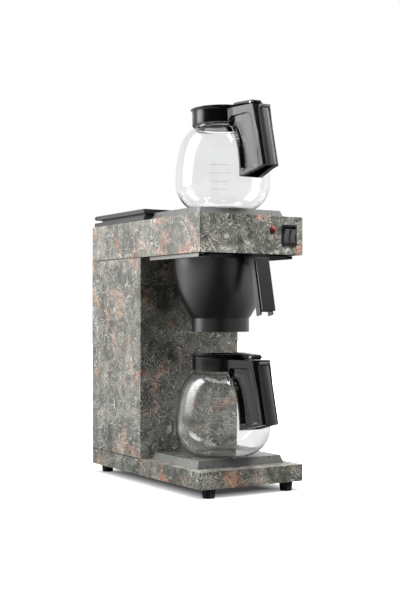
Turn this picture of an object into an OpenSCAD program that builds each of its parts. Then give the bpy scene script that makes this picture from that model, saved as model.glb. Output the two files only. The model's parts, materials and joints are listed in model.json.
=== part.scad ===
// Twin-plate pour-over filter coffee brewer with two glass jugs
// X runs across the machine, Y from the front to the rear, Z up from the floor

/* [Housing] */
// Width of the housing
body_w = 195; // [185:1:215]
// Depth of the housing
body_d = 374; // [368:1:400]
// Height of the base
base_h = 27; // [24:1:36]
// Height of the column between base and head
column_h = 338; // [330:1:370]
// Depth of the column
column_d = 183; // [180:1:190]
// Height of the head
head_h = 61; // [58:1:70]
// Thickness of the housing sheet
sheet = 1.2; // [0.8:0.1:1.6]
// Width of the folded return flanges
return_w = 12; // [10:1:14]
// Gap between a cover and the walls round it
cover_gap = 0.2; // [0.1:0.05:0.4]

/* [Feet] */
// Height of a foot
foot_h = 15; // [10:1:25]
// Diameter of a foot at its top
foot_top_dia = 22; // [20:1:26]
// Diameter of a foot at the floor
foot_floor_dia = 19; // [14:1:20]
// Inset of the foot centres from the sides
foot_inset_x = 24; // [20:1:40]
// Inset of the foot centres from front and rear
foot_inset_y = 14; // [12:1:40]
// Diameter of the spigot that holds a foot
foot_spigot_dia = 8; // [6:0.5:10]

/* [Hot plates] */
// Width of a plate at its foot
plate_w = 167; // [160:1:170]
// Depth of a plate at its foot
plate_d = 150; // [146:1:152]
// Height of a plate
plate_h = 12.5; // [11:0.5:16]
// Inset of the plate's top edge on each side
plate_slope = 4.5; // [2:0.5:7]
// Thickness of the pressed plate
plate_sheet = 2; // [1.5:0.1:2.5]
// Distance of the plates from the front of the housing
plate_front = 31; // [28:1:34]
// Diameter of the heating disc under a plate
disc_dia = 118; // [90:1:130]
// Thickness of the heating disc
disc_t = 4; // [3:0.5:6]

/* [Tank and lid] */
// Width of the water tank
tank_w = 150; // [140:1:152]
// Depth of the water tank
tank_d = 150; // [145:1:152]
// Height of the water tank
tank_h = 92; // [80:1:100]
// Wall of the water tank
tank_wall = 2; // [1.5:0.1:3]
// Height of the lid frame above the head
frame_h = 7.7; // [7:0.1:9]
// Height of the dark neck between frame and lid
neck_h = 4.8; // [4:0.1:6]
// Thickness of the lid
lid_t = 7.2; // [6.8:0.1:9]
// Inset of the lid from the sides and rear of the housing
lid_inset = 3; // [2:0.5:4]
// Length of the lid from front to rear
lid_d = 186; // [184:1:187]
// Free length of the lid behind its neck
lid_overhang = 19; // [17:1:22]
// Inset of the neck from the lid's front and sides
neck_inset = 6; // [5:0.5:8]
// Wall of the neck under the lid
neck_wall = 2.5; // [2:0.1:3]
// Depth of the neck inside the frame
neck_dip = 5; // [4:0.5:6]
// Diameter of the lid hinge pin
hinge_pin_dia = 4; // [3:0.1:4.2]

/* [Water path] */
// Diameter of the flow heater body
heater_dia = 34; // [30:1:40]
// Length of the flow heater
heater_l = 100; // [90:1:106]
// Outside diameter of the water pipes
pipe_dia = 10; // [8:0.5:11]
// Wall of the water pipes
pipe_wall = 1.2; // [1:0.1:1.5]
// Bend radius of the water pipes
pipe_bend = 14; // [12:1:16]
// Diameter of the spray disc
spray_dia = 54; // [44:1:60]

/* [Filter basket] */
// Radius of the basket wall at its top
basket_r = 79; // [76:0.5:80]
// Height of the bowl
bowl_h = 97.8; // [90:0.2:102]
// Radius of the outlet skirt
outlet_r = 47.2; // [40:0.2:52]
// Height of the outlet skirt
outlet_h = 21.8; // [18:0.2:26]
// Wall of the basket
basket_wall = 2.6; // [2:0.1:3.5]
// Distance of the basket's axis from the front of the housing
basket_y = 95.5; // [92:0.5:97]
// Thickness of the basket's flange
flange_t = 2.7; // [2.2:0.1:3]
// Depth of the flange from front to rear
flange_d = 168; // [162:1:170]
// Corner radius of the flange
flange_corner = 30; // [20:1:40]
// Gap above and below the flange in its rails
rail_gap = 0.3; // [0.25:0.05:0.5]
// Inset of the rails from the sides of the housing
rail_inset = 8; // [6:0.5:9]
// Thickness of the rail sheet
rail_sheet = 1.5; // [1:0.1:1.8]
// Diameter of the drip hole
drip_dia = 12; // [8:1:16]
// Width of the basket handle
basket_handle_w = 24; // [20:1:28]
// Height of the basket handle
basket_handle_h = 89; // [82:1:92]
// Reach of the handle's top in front of the housing
basket_handle_out = 26.5; // [25:0.5:30]
// Lean of the basket handle in degrees
basket_handle_lean = 12.7; // [10:0.1:15]
// Depth of the basket handle from front to inner edge
basket_handle_t = 19; // [17:0.5:20]

/* [Jugs] */
// Largest radius of the glass
glass_r = 78; // [75:0.5:79]
// Height of the glass at its largest radius
glass_belly_z = 40; // [36:1:44]
// Radius of the flat bottom
glass_foot_r = 46; // [40:1:50]
// Radius of the neck
neck_r = 45; // [42:0.5:46]
// Height where the shoulder meets the neck
neck_z = 135; // [133:0.5:137]
// Height of the glass
glass_h = 150; // [149:0.5:152]
// Thickness of the glass
glass_t = 2.2; // [1.8:0.1:2.8]
// Distance of the jugs' axis from the front of the housing
jug_y = 88; // [86:0.5:92]
// Radius of the collar
collar_r = 50.3; // [49:0.1:52]
// Height of the collar's lower edge
collar_z = 138.5; // [138:0.5:142]
// Height of the collar's upper edge
collar_top = 165; // [164:0.5:166]
// Flare of the pouring lip
lip_flare = 2.7; // [1.5:0.1:4]
// Thickness of the jug lid
jug_lid_t = 4; // [3:0.5:5]
// Diameter of the brew-through hole in the jug lid
brew_hole_dia = 20; // [14:1:26]
// Height of the top of the jug handle
handle_top = 158; // [157:0.5:159]
// Height of the foot of the jug handle
handle_foot = 60; // [56:1:66]
// Reach of the handle's front face at its top, from the jug's axis
handle_reach_top = 121; // [119:0.5:124]
// Reach of the handle's front face at its foot, from the jug's axis
handle_reach_foot = 146; // [143:0.5:149]
// Width of the jug grip
grip_w = 21; // [19:1:23]
// Thickness of the jug grip
grip_t = 8; // [7.5:0.5:9.5]
// Groove between grip and handle shell
grip_groove = 1; // [0.5:0.5:3]
// Width of the handle shell next to the glass
shell_w = 50; // [44:1:52]
// Width of the handle shell at its front
shell_tip_w = 27; // [24:1:32]
// Wall of the handle shell
shell_wall = 2.4; // [2:0.1:3]
// Depth of the finger scoops
scoop = 3; // [1:0.5:3.5]
// Diameter of the jug lid's hinge pin
lid_pin_dia = 3; // [2.5:0.1:3.2]

/* [Controls] */
// Width of the switch bezel
bezel_w = 28.6; // [28:0.2:32]
// Height of the switch bezel
bezel_h = 33; // [32:0.5:36]
// Distance of the bezel's centre from the right side of the housing
bezel_inset = 27.9; // [26:0.1:31]
// Width of one rocker
rocker_w = 9.6; // [9:0.1:10]
// Height of one rocker
rocker_h = 24; // [22:0.5:26]
// Tilt of a rocker at rest in degrees
rocker_tilt = 10; // [8:0.5:12]
// Diameter of the pilot lamp's lens
lamp_dia = 11.5; // [10:0.1:13]
// Distance of the pilot lamp from the right side of the housing
lamp_inset = 59.5; // [58:0.1:63]

/* [Rear] */
// Bore of the cord gland
gland_bore = 7.6; // [6.5:0.1:8.5]
// Reach of the gland behind the housing
gland_out = 10; // [8:0.5:14]

/* [Hidden] */
$fn = 64;
// Running clearance of a pin in its bore
pin_fit = 0.05;
// Clearance of a fixed piece in its seat
seat_fit = 0.15;
// Clearance between bodies that move past each other
run_gap = 0.4;
// Air left under a standing jug
stand_gap = 0.3;
// Overlap that keeps a cut clean
cut = 1;

base_z = foot_h;
column_z = base_z + base_h;
head_z = column_z + column_h;
deck_z = head_z + head_h;
column_y = body_d - column_d;
half_w = body_w / 2;
inner_w = body_w - 2 * sheet;
bezel_x = half_w - bezel_inset;
lamp_x = half_w - lamp_inset;
handle_reach = handle_reach_foot - jug_y;
origin_y = (body_d + gland_out - handle_reach) / 2;

// Moves the machine so that the origin lies under the middle of its box
module placed() {
    translate([0, -origin_y, 0]) children();
}

// Box centred across the machine
module bar(w, y0, y1, z0, z1) {
    translate([-w / 2, y0, z0]) cube([w, y1 - y0, z1 - z0]);
}

// Box between two X values
module block(x0, x1, y0, y1, z0, z1) {
    translate([x0, y0, z0]) cube([x1 - x0, y1 - y0, z1 - z0]);
}

// Outline of Y and Z points, extruded across the machine
module side_prism(points, w) {
    rotate([90, 0, 90]) linear_extrude(w, center = true) polygon(points);
}

// Cylinder along X
module x_rod(x0, x1, y, z, r) {
    translate([x0, y, z]) rotate([0, 90, 0]) cylinder(h = x1 - x0, r = r);
}

// Cylinder along Y
module y_rod(x, y0, y1, z, r) {
    translate([x, y0, z]) rotate([-90, 0, 0]) cylinder(h = y1 - y0, r = r);
}

// Pan-head screw with its head's seat at the origin and its shank along +Z
module screw(head_r, head_t, shank_r, shank_l) {
    translate([0, 0, -head_t]) cylinder(h = head_t, r = head_r);
    cylinder(h = shank_l, r = shank_r);
}

// Unit vector from one point to the next
function heading(a, b) = (b - a) / norm(b - a);

// Any unit vector square to an axis-aligned direction
function square_to(d) = abs(d[2]) > 0.5 ? [1, 0, 0] : [0, 0, 1];

// Rigid transform with the given axes and origin
function axes(u, v, w, o) = [
    [u[0], v[0], w[0], o[0]],
    [u[1], v[1], w[1], o[1]],
    [u[2], v[2], w[2], o[2]],
    [0, 0, 0, 1]];

// Round run through axis-aligned points, with quarter bends at the corners
module run(path, r, bend) {
    last = len(path) - 1;
    for (i = [0:last - 1]) {
        d = heading(path[i], path[i + 1]);
        from = path[i] + d * (i > 0 ? bend : 0);
        to = path[i + 1] - d * (i + 1 < last ? bend : 0);
        u = square_to(d);
        multmatrix(axes(u, cross(d, u), d, from)) cylinder(h = norm(to - from), r = r);
    }
    for (i = [1:last - 1]) {
        d1 = heading(path[i - 1], path[i]);
        d2 = heading(path[i], path[i + 1]);
        multmatrix(axes(-d2, d1, cross(d1, d2), path[i] + (d2 - d1) * bend))
            rotate_extrude(angle = 90) translate([bend, 0]) circle(r = r);
    }
}

// Point on a cubic curve
function bezier(p, t) = pow(1 - t, 3) * p[0] + 3 * pow(1 - t, 2) * t * p[1]
    + 3 * (1 - t) * t * t * p[2] + pow(t, 3) * p[3];

// Points along a cubic curve
function curve(p, steps) = [for (i = [0:steps]) bezier(p, i / steps)];

// Places of the feet
foot_xs = [-half_w + foot_inset_x, half_w - foot_inset_x];
foot_ys = [foot_inset_y, body_d - foot_inset_y];
foot_grip = 3;

// Housing screws
screw_r = 1.9;
screw_head_r = 3.6;
screw_head_t = 1.8;
screw_l = 7;
screw_hole_r = screw_r + seat_fit;
return_x = half_w - sheet / 2 - return_w / 2;
screw_x = half_w - sheet - return_w / 2;
rear_screw_low = 40;
rear_screw_high = 20;
rear_screw_zs = [column_z + rear_screw_low, column_z + column_h / 2, head_z - rear_screw_high];
bottom_screw_inset = 112;
bottom_screw_ys = [bottom_screw_inset, body_d - bottom_screw_inset];
flange_z = base_z + sheet + cover_gap;
return_end = 40;

// Water path
channel_x = (tank_w / 2 + half_w - sheet) / 2;
tank_forward = 4;
tank_y = column_y + (column_d - tank_d) / 2 - tank_forward;
tank_z = deck_z - sheet - tank_h;
tank_mid_y = tank_y + tank_d / 2;
tank_rim_w = 4;
heater_r = heater_dia / 2;
heater_rise = 60;
heater_z = column_z + heater_rise;
heater_spigot = 10;
heater_end = heater_l / 2 + heater_spigot;
heater_pad = 2;
outlet_x = -50;
outlet_bore = pipe_dia / 2 - pipe_wall;
grommet_t = 6;
valve_h = 30;
valve_r = 10;
valve_foot = tank_z - grommet_t - valve_h;
hose_turn_z = valve_foot - 2 * pipe_bend;
spray_gap = 0.5;
riser_rise = 34;
riser_z = head_z + riser_rise;
riser_stop = 14;
riser_end = head_z + riser_stop;

// Wiring
loom_r = 4;
loom_bend = 12;
loom_y = 60;
loom_air = 8;
loom_rear_y = body_d - sheet - loom_r - loom_air;
block_w = 14;
block_d = 22;
block_h = 14;
block_top = base_z + sheet + block_h;
bezel_rise = 31;
bezel_z = head_z + bezel_rise;
wire_hole_r = 6;
bezel_back = 26;

// Terminal tabs
tab_l = 4;
tab_w = 6;
tab_t = 0.8;

// Rear cover's vents and gland
gland_rise = 26;
gland_z = column_z + gland_rise;
gland_wall = 3;
gland_r = gland_bore / 2 + gland_wall;
gland_in = 6;
gland_rim = 3;
vent_count = 5;
vent_w = 70;
vent_h = 3;
vent_pitch = 9;
vent_rise = 150;
vent_z = column_z + vent_rise;

// Mouth of the tank in deck and lid frame
mouth_w = tank_w - 2 * tank_wall;
mouth_y0 = tank_y + tank_wall;
mouth_y1 = tank_y + tank_d - tank_wall;

// Base
module base_tray() {
    placed() color("dimgray") {
        difference() {
            bar(body_w, 0, body_d, base_z, column_z);
            bar(inner_w, sheet, body_d - sheet, base_z - cut, column_z - sheet);
            translate([-channel_x, loom_rear_y, column_z - 2 * sheet])
                cylinder(h = 3 * sheet, r = loom_r + seat_fit);
            translate([0, plate_front + plate_d / 2, column_z - 2 * sheet])
                cylinder(h = 3 * sheet, r = wire_hole_r);
        }
        for (side = [-1, 1]) difference() {
            translate([side * return_x, body_d / 2, flange_z + sheet / 2])
                cube([return_w + sheet, body_d - 2 * return_end, sheet], center = true);
            for (y = bottom_screw_ys) translate([side * screw_x, y, flange_z - cut])
                cylinder(h = sheet + 2 * cut, r = screw_hole_r);
        }
    }
}

module base_bottom_cover() {
    placed() color("silver") difference() {
        bar(inner_w - 2 * cover_gap, sheet + cover_gap, body_d - sheet - cover_gap, base_z, base_z + sheet);
        for (x = foot_xs, y = foot_ys) translate([x, y, base_z - cut])
            cylinder(h = sheet + 2 * cut, r = foot_spigot_dia / 2 + seat_fit);
        for (x = [-screw_x, screw_x], y = bottom_screw_ys) translate([x, y, base_z - cut])
            cylinder(h = sheet + 2 * cut, r = screw_hole_r);
    }
}

module feet() {
    placed() color("black") for (x = foot_xs, y = foot_ys) translate([x, y, 0]) {
        cylinder(h = foot_h, r1 = foot_floor_dia / 2, r2 = foot_top_dia / 2);
        cylinder(h = foot_h + sheet + foot_grip, r = foot_spigot_dia / 2);
    }
}

// Pressed plate with sloping sides, open below
module frustum(w, d, h, slope) {
    intersection() {
        rotate([90, 0, 0]) linear_extrude(d, center = true)
            polygon([[-w / 2, 0], [w / 2, 0], [w / 2 - slope, h], [slope - w / 2, h]]);
        side_prism([[-d / 2, 0], [d / 2, 0], [d / 2 - slope, h], [slope - d / 2, h]], w);
    }
}

module hotplate(z) {
    placed() color("dimgray") translate([0, plate_front + plate_d / 2, z]) difference() {
        frustum(plate_w, plate_d, plate_h, plate_slope);
        translate([0, 0, -cut]) frustum(plate_w - 2 * plate_sheet, plate_d - 2 * plate_sheet,
            plate_h - plate_sheet + cut, plate_slope);
    }
}

module plate_heater(z) {
    disc_z = z + plate_h - plate_sheet - disc_t;
    placed() color("silver") translate([0, plate_front + plate_d / 2, 0]) {
        translate([0, 0, disc_z]) cylinder(h = disc_t, r = disc_dia / 2);
        for (x = [-1, 1]) translate([x * disc_dia / 4, 0, disc_z - tab_l]) cube([tab_t, tab_w, tab_l]);
    }
}

module lower_hotplate() { hotplate(column_z); }
module upper_hotplate() { hotplate(deck_z); }
module lower_plate_heater() { plate_heater(column_z); }
module upper_plate_heater() { plate_heater(deck_z); }

// Column
module column_wrap() {
    placed() color("dimgray") {
        difference() {
            bar(body_w, column_y, body_d - sheet, column_z, head_z);
            bar(inner_w, column_y + sheet, body_d, column_z - cut, head_z + cut);
        }
        for (side = [-1, 1]) difference() {
            translate([side * return_x, body_d - 1.5 * sheet, column_z + column_h / 2])
                cube([return_w + sheet, sheet, column_h], center = true);
            for (z = rear_screw_zs)
                y_rod(side * screw_x, body_d - 2 * sheet - cut, body_d, z, screw_hole_r);
        }
    }
}

module rear_cover() {
    placed() color("gray") difference() {
        bar(body_w, body_d - sheet, body_d, column_z, head_z);
        for (x = [-screw_x, screw_x], z = rear_screw_zs)
            y_rod(x, body_d - sheet - cut, body_d + cut, z, screw_hole_r);
        y_rod(0, body_d - sheet - cut, body_d + cut, gland_z, gland_r + seat_fit);
        for (i = [0:vent_count - 1]) translate([-vent_w / 2, body_d - sheet - cut, vent_z + i * vent_pitch])
            cube([vent_w, sheet + 2 * cut, vent_h]);
    }
}

module housing_screws() {
    placed() color("silver") {
        for (x = [-screw_x, screw_x], z = rear_screw_zs) translate([x, body_d, z])
            rotate([90, 0, 0]) screw(screw_head_r, screw_head_t, screw_r, screw_l);
        for (x = [-screw_x, screw_x], y = bottom_screw_ys) translate([x, y, base_z])
            screw(screw_head_r, screw_head_t, screw_r, screw_l);
    }
}

// Head
module head_wrap() {
    placed() color("dimgray") difference() {
        bar(body_w, 0, body_d, head_z, deck_z - sheet);
        bar(inner_w, sheet, body_d - sheet, head_z - cut, deck_z);
        block(bezel_x - bezel_body_w / 2 - seat_fit, bezel_x + bezel_body_w / 2 + seat_fit, -cut, sheet + cut,
            bezel_z - bezel_body_h / 2 - seat_fit, bezel_z + bezel_body_h / 2 + seat_fit);
        y_rod(lamp_x, -cut, sheet + cut, lamp_z, lamp_body_r + seat_fit);
    }
}

module head_top_deck() {
    placed() color("dimgray") difference() {
        bar(body_w, 0, body_d, deck_z - sheet, deck_z);
        bar(mouth_w, mouth_y0, mouth_y1, deck_z - sheet - cut, deck_z + cut);
        translate([0, plate_front + plate_d / 2, deck_z - sheet - cut])
            cylinder(h = sheet + 2 * cut, r = wire_hole_r);
    }
}

module head_floor() {
    placed() color("black") difference() {
        bar(inner_w - 2 * cover_gap, sheet + cover_gap, column_y, head_z, head_z + sheet);
        translate([0, basket_y, head_z - cut]) cylinder(h = sheet + 2 * cut, r = spray_dia / 2 + seat_fit);
    }
}

// Folded rail, open towards the basket
rail_front = 18;
rail_l = 156;
rail_h = flange_t + 2 * rail_gap + 2 * rail_sheet;
rail_out = half_w - rail_inset;
rail_in = rail_out - rail_sheet;
// Air between the lips of the rails and the basket's wall
bowl_air = 2;
rail_lip = rail_in - basket_r - bowl_air;
flange_z0 = head_z - rail_h + rail_sheet + rail_gap;

module rail(side) {
    placed() color("silver") mirror([side < 0 ? 1 : 0, 0, 0]) difference() {
        block(rail_in - rail_lip, rail_out, rail_front, rail_front + rail_l, head_z - rail_h, head_z);
        block(rail_in - rail_lip - cut, rail_in, rail_front - cut, rail_front + rail_l + cut,
            head_z - rail_h + rail_sheet, head_z - rail_sheet);
    }
}
module left_basket_rail() { rail(-1); }
module right_basket_rail() { rail(1); }

// Lid frame with a recess for the neck and two hinge ears
lid_w = body_w - 2 * lid_inset;
lid_y1 = body_d - lid_inset;
lid_y0 = lid_y1 - lid_d;
frame_top = deck_z + frame_h;
frame_floor = frame_h - neck_dip - run_gap;
neck_w = lid_w - 2 * neck_inset;
neck_y0 = lid_y0 + neck_inset;
neck_y1 = lid_y1 - lid_overhang;
lid_z = frame_top + neck_h;
hinge_r = hinge_pin_dia / 2;
hinge_margin = 1;
hinge_y = lid_y1 - lid_t / 2 - hinge_margin;
hinge_z = lid_z + lid_t / 2;
ear_x = 66;
ear_t = 6;
ear_mid = ear_x + ear_t / 2;
ear_notch = 3;

module lid_frame() {
    placed() color("black") {
        difference() {
            bar(lid_w, lid_y0, lid_y1, deck_z, frame_top);
            bar(neck_w + 2 * run_gap, neck_y0 - run_gap, neck_y1 + run_gap,
                deck_z + frame_floor, frame_top + cut);
            bar(mouth_w, mouth_y0, mouth_y1, deck_z - cut, frame_top);
        }
        for (side = [-1, 1]) difference() {
            union() {
                translate([side * ear_mid - ear_t / 2, hinge_y - lid_t / 2, frame_top - cut])
                    cube([ear_t, lid_t, hinge_z - frame_top + cut]);
                x_rod(side * ear_mid - ear_t / 2, side * ear_mid + ear_t / 2,
                    hinge_y, hinge_z, lid_t / 2);
            }
            x_rod(side * ear_mid - ear_t, side * ear_mid + ear_t, hinge_y, hinge_z, hinge_r);
        }
    }
}

module lid_hinge_pin() {
    placed() color("silver") x_rod(-ear_x - ear_t, ear_x + ear_t, hinge_y, hinge_z, hinge_r);
}

module tank_lid() {
    placed() color("black") difference() {
        union() {
            bar(lid_w, lid_y0, hinge_y, lid_z, lid_z + lid_t);
            x_rod(-lid_w / 2, lid_w / 2, hinge_y, hinge_z, lid_t / 2);
            difference() {
                bar(neck_w, neck_y0, neck_y1, frame_top - neck_dip, lid_z);
                bar(neck_w - 2 * neck_wall, neck_y0 + neck_wall, neck_y1 - neck_wall,
                    frame_top - neck_dip - cut, lid_z);
            }
        }
        x_rod(-lid_w, lid_w, hinge_y, hinge_z, hinge_r + pin_fit);
        for (side = [-1, 1]) translate([side * ear_mid - ear_t / 2 - run_gap,
            hinge_y - lid_t / 2 - ear_notch, lid_z - cut])
            cube([ear_t + 2 * run_gap, lid_t + ear_notch + cut, lid_t + 2 * cut]);
    }
}

// Tank and water path
grommet_wall = 2;
grommet_r = pipe_dia / 2 + grommet_wall;
grommet_flange = 4;
grommet_head = 2;
strainer_h = 14;
strainer_slot = 2;
strainer_foot = 3;
pad_w = 20;
bracket_w = 60;
bracket_d = 44;
bracket_t = 2;
stat_r = 8;
stat_h = 9;

module water_tank() {
    placed() color("gainsboro") difference() {
        union() {
            bar(tank_w, tank_y, tank_y + tank_d, tank_z, deck_z - sheet);
            bar(tank_w + 2 * tank_rim_w, tank_y - tank_rim_w, tank_y + tank_d + tank_rim_w,
                deck_z - sheet - tank_wall, deck_z - sheet);
        }
        bar(mouth_w, mouth_y0, mouth_y1, tank_z + tank_wall, deck_z);
        translate([outlet_x, tank_mid_y, tank_z - cut])
            cylinder(h = tank_wall + 2 * cut, r = grommet_r + seat_fit);
    }
}

module tank_outlet_grommet() {
    placed() color("dimgray") translate([outlet_x, tank_mid_y, 0]) difference() {
        union() {
            translate([0, 0, tank_z - grommet_t]) cylinder(h = grommet_t, r = grommet_r + grommet_flange);
            translate([0, 0, tank_z - grommet_t]) cylinder(h = grommet_t + tank_wall, r = grommet_r);
            translate([0, 0, tank_z + tank_wall]) cylinder(h = grommet_head, r = grommet_r + grommet_flange);
        }
        translate([0, 0, tank_z - grommet_t - cut])
            cylinder(h = grommet_t + tank_wall + grommet_head + 2 * cut, r = outlet_bore);
    }
}

module tank_strainer() {
    foot = tank_z + tank_wall + grommet_head;
    placed() color("white") translate([outlet_x, tank_mid_y, foot]) difference() {
        cylinder(h = strainer_h, r = grommet_r + grommet_flange);
        translate([0, 0, -cut]) cylinder(h = strainer_h, r = grommet_r);
        for (a = [0:45:135]) rotate([0, 0, a]) translate([-2 * grommet_r, -strainer_slot / 2, strainer_foot])
            cube([4 * grommet_r, strainer_slot, strainer_h - 2 * strainer_foot]);
    }
}

module non_return_valve() {
    placed() color("white") translate([outlet_x, tank_mid_y, valve_foot]) difference() {
        cylinder(h = valve_h, r = valve_r);
        translate([0, 0, -cut]) cylinder(h = valve_h + 2 * cut, r = outlet_bore);
    }
}

module feed_hose() {
    path = [[outlet_x, tank_mid_y, valve_foot], [outlet_x, tank_mid_y, hose_turn_z],
        [-channel_x, tank_mid_y, hose_turn_z], [-channel_x, tank_mid_y, heater_z],
        [-heater_end, tank_mid_y, heater_z]];
    placed() color("whitesmoke") run(path, pipe_dia / 2, pipe_bend);
}

module flow_heater() {
    placed() color("silver") difference() {
        union() {
            x_rod(-heater_l / 2, heater_l / 2, tank_mid_y, heater_z, heater_r);
            x_rod(-heater_end, heater_end, tank_mid_y, heater_z, pipe_dia / 2);
            translate([-pad_w / 2, tank_mid_y - pad_w / 2, heater_z])
                cube([pad_w, pad_w, heater_r + heater_pad]);
        }
        x_rod(-heater_end - cut, heater_end + cut, tank_mid_y, heater_z, outlet_bore);
    }
}

module heater_bracket() {
    placed() color("silver") {
        bar(bracket_w, tank_mid_y - bracket_d / 2, tank_mid_y + bracket_d / 2,
            column_z, column_z + bracket_t);
        for (x = [-1, 1]) difference() {
            translate([x * bracket_w / 2 - bracket_t / 2, tank_mid_y - bracket_d / 2, column_z])
                cube([bracket_t, bracket_d, heater_z - column_z]);
            x_rod(-bracket_w, bracket_w, tank_mid_y, heater_z, heater_r + seat_fit);
        }
    }
}

module safety_thermostat() {
    placed() color("tan") translate([0, tank_mid_y, heater_z + heater_r + heater_pad]) {
        cylinder(h = stat_h, r = stat_r);
        for (x = [-1, 1]) translate([x * stat_r / 2, -tab_w / 2, stat_h]) cube([tab_t, tab_w, 2 * tab_l]);
    }
}

module riser_pipe() {
    path = [[heater_end, tank_mid_y, heater_z], [channel_x, tank_mid_y, heater_z],
        [channel_x, tank_mid_y, riser_z], [channel_x, basket_y, riser_z],
        [0, basket_y, riser_z], [0, basket_y, riser_end]];
    placed() color("silver") run(path, pipe_dia / 2, pipe_bend);
}

gasket_t = 1.5;
spray_flange = 4;
spray_z = head_z - spray_gap;
spray_t = 3;
spray_holes = 8;
spray_hole_r = 1.5;
spray_ring_r = spray_dia / 3;

module spray_gasket() {
    placed() color("tomato") translate([0, basket_y, head_z + sheet]) difference() {
        cylinder(h = gasket_t, r = spray_dia / 2 + spray_flange);
        translate([0, 0, -cut]) cylinder(h = gasket_t + 2 * cut, r = spray_dia / 2 + seat_fit);
    }
}

module spray_head() {
    top = head_z + sheet + gasket_t;
    placed() color("whitesmoke") translate([0, basket_y, 0]) difference() {
        union() {
            translate([0, 0, spray_z]) cylinder(h = top - spray_z, r = spray_dia / 2);
            translate([0, 0, top]) cylinder(h = spray_t, r = spray_dia / 2 + spray_flange);
            translate([0, 0, top]) cylinder(h = riser_end - top, r = pipe_dia / 2);
        }
        for (i = [0:spray_holes - 1]) rotate([0, 0, i * 360 / spray_holes])
            translate([spray_ring_r, 0, spray_z - cut]) cylinder(h = spray_t, r = spray_hole_r);
    }
}

// Electrics
bezel_lip = 1.4;
bezel_t = 2;
bezel_body_w = bezel_w - 2 * bezel_lip;
bezel_body_h = bezel_h - 2 * bezel_lip;
rocker_depth = 13;
rocker_axis_y = 5;
rocker_gap = run_gap;
rocker_rib = 2;
rocker_x = (rocker_w + 2 * rocker_gap + rocker_rib) / 2;
stub_r = 1.5;
stub_l = 1;
rocker_end = 1;
rocker_tail = 6;
// Half height of the rocker's window, with room for its swing
window_h = rocker_h / 2 + rocker_end;

module switch_bezel() {
    placed() color("black") difference() {
        union() {
            block(bezel_x - bezel_w / 2, bezel_x + bezel_w / 2, -bezel_t, 0,
                bezel_z - bezel_h / 2, bezel_z + bezel_h / 2);
            block(bezel_x - bezel_body_w / 2, bezel_x + bezel_body_w / 2, -bezel_t, bezel_back,
                bezel_z - bezel_body_h / 2, bezel_z + bezel_body_h / 2);
        }
        for (side = [-1, 1]) translate([bezel_x + side * rocker_x, 0, bezel_z]) {
            translate([-rocker_w / 2 - rocker_gap, -bezel_t - cut, -window_h])
                cube([rocker_w + 2 * rocker_gap, bezel_t + rocker_axis_y + rocker_depth + cut, 2 * window_h]);
            x_rod(-rocker_w / 2 - rocker_gap - stub_l, rocker_w / 2 + rocker_gap + stub_l,
                rocker_axis_y, 0, stub_r + pin_fit);
        }
    }
}

// Rocker with two face flats, resting tilted on one end
module rocker(side) {
    face = bezel_t + rocker_axis_y;
    rise = rocker_h / 2 * tan(rocker_tilt);
    tip = rocker_h / 2 - rocker_end;
    stub_end = rocker_w / 2 + rocker_gap + stub_l / 2;
    placed() color("black") translate([bezel_x + side * rocker_x, rocker_axis_y, bezel_z])
        rotate([rocker_tilt, 0, 0]) {
            side_prism([[-face - rise, tip], [-face, 0], [-face - rise, -tip], [0, -tip],
                [rocker_tail, -rocker_tail / 2], [rocker_tail, rocker_tail / 2], [0, tip]], rocker_w);
            x_rod(-stub_end, stub_end, 0, 0, stub_r);
        }
}

module left_rocker() { rocker(-1); }
module right_rocker() { rocker(1); }

// Pilot lamp
lamp_rise = 8;
lamp_z = bezel_z + lamp_rise;
lamp_step = 1;
lamp_body_r = lamp_dia / 2 - lamp_step;
lamp_body_l = 24;
lamp_rim = 1.5;
lamp_nut_t = 4;
lamp_nut_w = 2;
lamp_dome = 3.5;
lamp_edge = 0.4;
lamp_dome_r = (pow(lamp_dia / 2 - lamp_edge, 2) + pow(lamp_dome, 2)) / (2 * lamp_dome);

module pilot_lamp_lens() {
    placed() color("darkred") translate([lamp_x, 0, lamp_z]) rotate([90, 0, 0]) {
        cylinder(h = lamp_rim, r = lamp_dia / 2);
        translate([0, 0, lamp_rim]) intersection() {
            translate([0, 0, lamp_dome - lamp_dome_r]) sphere(r = lamp_dome_r);
            cylinder(h = lamp_dome + cut, r = lamp_dia / 2);
        }
    }
}

module pilot_lamp_holder() {
    placed() color("black") {
        y_rod(lamp_x, 0, lamp_body_l, lamp_z, lamp_body_r);
        y_rod(lamp_x, sheet, sheet + lamp_nut_t, lamp_z, lamp_body_r + lamp_nut_w);
    }
}

module terminal_block() {
    placed() color("ivory") translate([-channel_x - block_w / 2, loom_rear_y - block_d / 2, base_z + sheet])
        cube([block_w, block_d, block_h]);
}

module wiring_loom() {
    path = [[-channel_x, loom_rear_y, block_top], [-channel_x, loom_rear_y, bezel_z],
        [-channel_x, loom_y, bezel_z], [bezel_x, loom_y, bezel_z], [bezel_x, bezel_back, bezel_z]];
    placed() color("dimgray") run(path, loom_r, loom_bend);
}

module cord_gland() {
    placed() color("black") difference() {
        union() {
            y_rod(0, body_d - sheet - gland_in, body_d + gland_out, gland_z, gland_r);
            y_rod(0, body_d, body_d + gland_rim, gland_z, gland_r + gland_wall);
            y_rod(0, body_d - sheet - gland_in, body_d - sheet, gland_z, gland_r + gland_wall);
        }
        y_rod(0, body_d - sheet - gland_in - cut, body_d + gland_out + cut, gland_z, gland_bore / 2);
    }
}

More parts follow.
